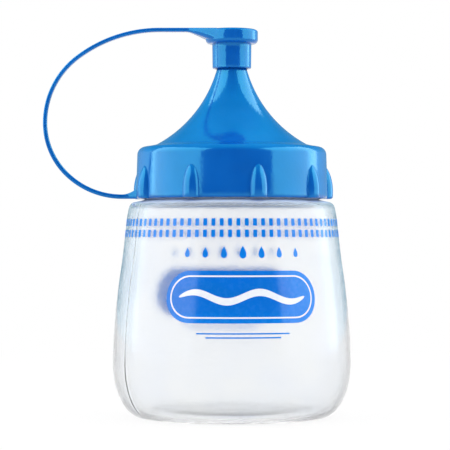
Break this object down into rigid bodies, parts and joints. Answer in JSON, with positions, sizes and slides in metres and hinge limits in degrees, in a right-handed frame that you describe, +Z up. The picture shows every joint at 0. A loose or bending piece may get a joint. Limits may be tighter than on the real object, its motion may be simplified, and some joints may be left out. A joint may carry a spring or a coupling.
{
  "type": "squeeze bottle",
  "caption": "Round translucent squeeze bottle for sauce, with a ribbed screw-on nozzle lid and a push-on tip cap held by a thin bendable strap.",
  "frame": {"origin": "middle of the flat base, on the surface that the bottle stands on", "axes": "+Z up the bottle's axis through the nozzle; the strap's loop stands out towards -X in the XZ plane; the printed front faces -Y"},
  "size_m": [0.1037, 0.08, 0.1311],
  "materials": {
    "frosted_plastic": "blown translucent polypropylene, satin, with two rings of blue printed dashes and a plain blue printed panel",
    "seal_foam": "soft white foam",
    "blue_plastic": "moulded, glossy"
  },
  "bodies": {
    "bottle": {"bottle": "frosted_plastic"},
    "seal_ring": {"seal_ring": "seal_foam"},
    "nozzle_lid": {"nozzle_lid": "blue_plastic"},
    "strap_link_1": {"strap_link_1": "blue_plastic"},
    "strap_link_2": {"strap_link_2": "blue_plastic"},
    "tip_cap": {"tip_cap": "blue_plastic"}
  },
  "joints": [
    {"name": "lid_rise", "type": "slide", "parent": "bottle", "child": "seal_ring", "axis": [0, 0, 1], "range_m": [0, 0.00643]},
    {"name": "lid_turn", "type": "hinge", "parent": "seal_ring", "child": "nozzle_lid", "pos_m": [0, 0, 0.08], "axis": [0, 0, 1], "range_deg": [0, 550]},
    {"name": "strap_bend_1", "type": "hinge", "parent": "nozzle_lid", "child": "strap_link_1", "pos_m": [-0.05197, 0, 0.07872], "axis": [0, -1, 0], "range_deg": [0, 70.46]},
    {"name": "strap_bend_2", "type": "hinge", "parent": "strap_link_1", "child": "strap_link_2", "pos_m": [-0.06197, 0, 0.10661], "axis": [0, -1, 0], "range_deg": [0, 68.27]},
    {"name": "strap_bend_3", "type": "hinge", "parent": "strap_link_2", "child": "tip_cap", "pos_m": [-0.0399, 0, 0.1277], "axis": [0, -1, 0], "range_deg": [0, 41.26]}
  ],
  "couplings": [
    {"joint": "lid_rise", "follows": "lid_turn", "m_per_rad": 0.00066845},
    {"joint": "strap_bend_2", "follows": "strap_bend_1", "ratio": 0.96891},
    {"joint": "strap_bend_3", "follows": "strap_bend_1", "ratio": 0.58557}
  ]
}
